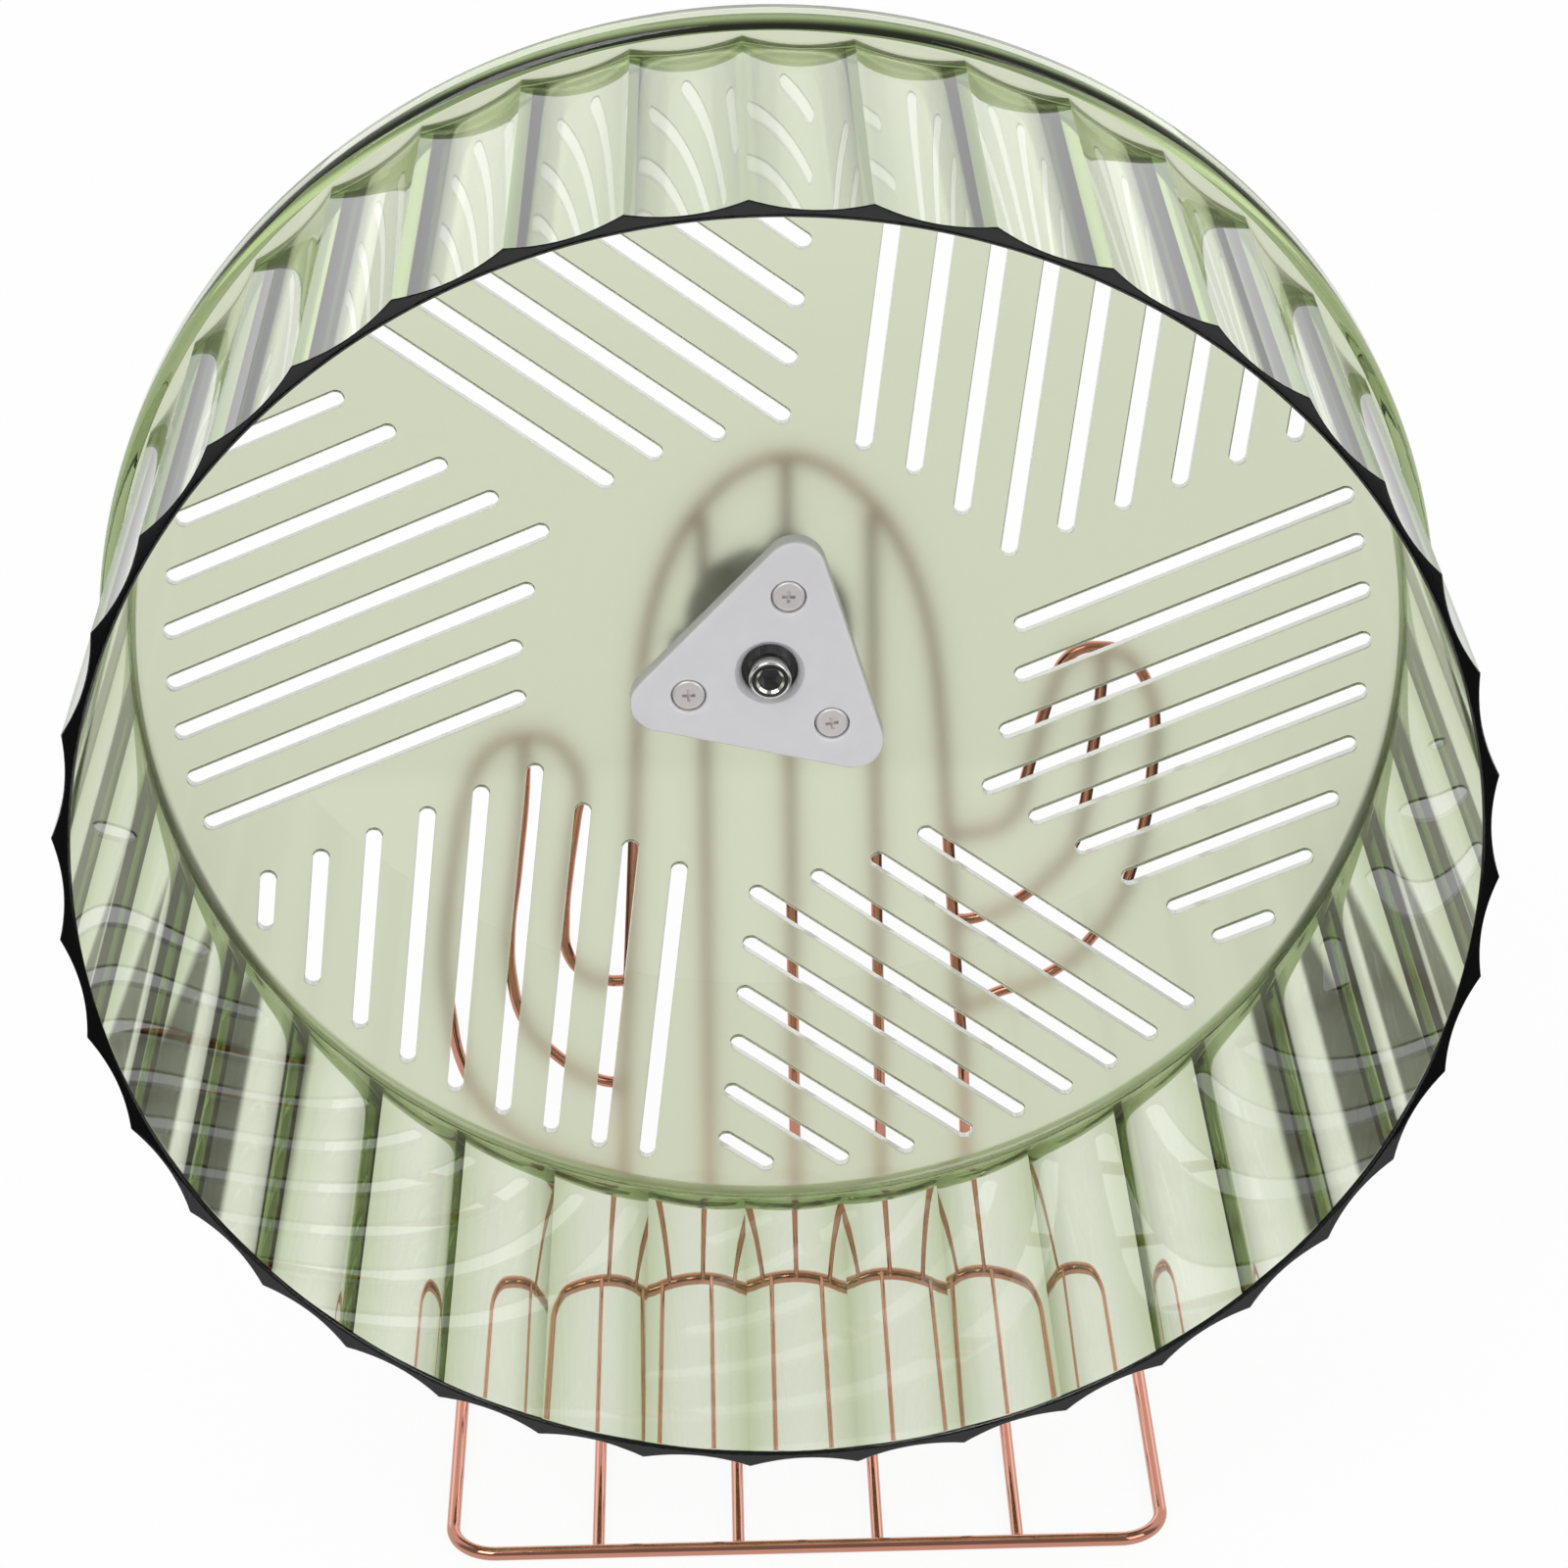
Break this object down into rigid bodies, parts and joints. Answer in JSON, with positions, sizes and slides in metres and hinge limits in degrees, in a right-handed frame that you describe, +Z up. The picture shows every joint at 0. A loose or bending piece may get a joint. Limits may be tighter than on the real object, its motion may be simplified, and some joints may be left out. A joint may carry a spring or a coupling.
{
  "type": "hamster exercise wheel",
  "caption": "Clear green fluted hamster wheel with a slotted back disc, on a copper-coloured wire stand shaped like a cactus.",
  "frame": {"origin": "centre of the bounding box on the floor plane, under the wheel", "axes": "+X to the right seen from the open front, +Y from the open front to the stand along the wheel's axis, +Z up"},
  "size_m": [0.2646, 0.1224, 0.3001],
  "materials": {
    "clear_plastic": "clear smoky olive green, polished, frosted on the disc's rear face",
    "milky_plastic": "milky lavender grey, satin",
    "dark_plastic": "dark, satin",
    "bright_steel": "bright",
    "cage_brass": "plain",
    "copper_wire": "copper-coloured plating on steel wire"
  },
  "bodies": {
    "stand": {"base_loop": "copper_wire", "base_bar_1": "copper_wire", "base_bar_2": "copper_wire", "base_bar_3": "copper_wire", "base_bar_4": "copper_wire", "trunk_arch": "copper_wire", "trunk_rib_left": "copper_wire", "trunk_rib_centre": "copper_wire", "trunk_rib_right": "copper_wire", "left_arm_loop": "copper_wire", "left_arm_rib": "copper_wire", "right_arm_loop": "copper_wire", "right_arm_rib": "copper_wire", "axle_bushing": "copper_wire", "axle_bolt": "bright_steel", "axle_nut": "bright_steel", "rear_spacer": "bright_steel", "bearing_spacer": "bright_steel", "front_inner_ring": "bright_steel", "rear_inner_ring": "bright_steel"},
    "wheel": {"drum": "clear_plastic", "hub_plate": "milky_plastic", "hub_screw_1": "bright_steel", "hub_screw_2": "bright_steel", "hub_screw_3": "bright_steel", "bearing_housing": "dark_plastic", "front_outer_ring": "bright_steel", "rear_outer_ring": "bright_steel"},
    "front_bearing_set": {"front_cage": "cage_brass", "front_ball_1": "bright_steel", "front_ball_2": "bright_steel", "front_ball_3": "bright_steel", "front_ball_4": "bright_steel", "front_ball_5": "bright_steel", "front_ball_6": "bright_steel", "front_ball_7": "bright_steel"},
    "rear_bearing_set": {"rear_cage": "cage_brass", "rear_ball_1": "bright_steel", "rear_ball_2": "bright_steel", "rear_ball_3": "bright_steel", "rear_ball_4": "bright_steel", "rear_ball_5": "bright_steel", "rear_ball_6": "bright_steel", "rear_ball_7": "bright_steel"}
  },
  "joints": [
    {"name": "wheel_spin", "type": "hinge", "parent": "stand", "child": "wheel", "pos_m": [0, 0.02768, 0.1678], "axis": [0, 1, 0], "continuous": true},
    {"name": "front_cage_spin", "type": "hinge", "parent": "stand", "child": "front_bearing_set", "pos_m": [0, 0.02768, 0.1678], "axis": [0, 1, 0], "continuous": true},
    {"name": "rear_cage_spin", "type": "hinge", "parent": "stand", "child": "rear_bearing_set", "pos_m": [0, 0.02768, 0.1678], "axis": [0, 1, 0], "continuous": true}
  ],
  "couplings": [
    {"joint": "front_cage_spin", "follows": "wheel_spin", "ratio": 0.6056},
    {"joint": "rear_cage_spin", "follows": "wheel_spin", "ratio": 0.6056}
  ]
}
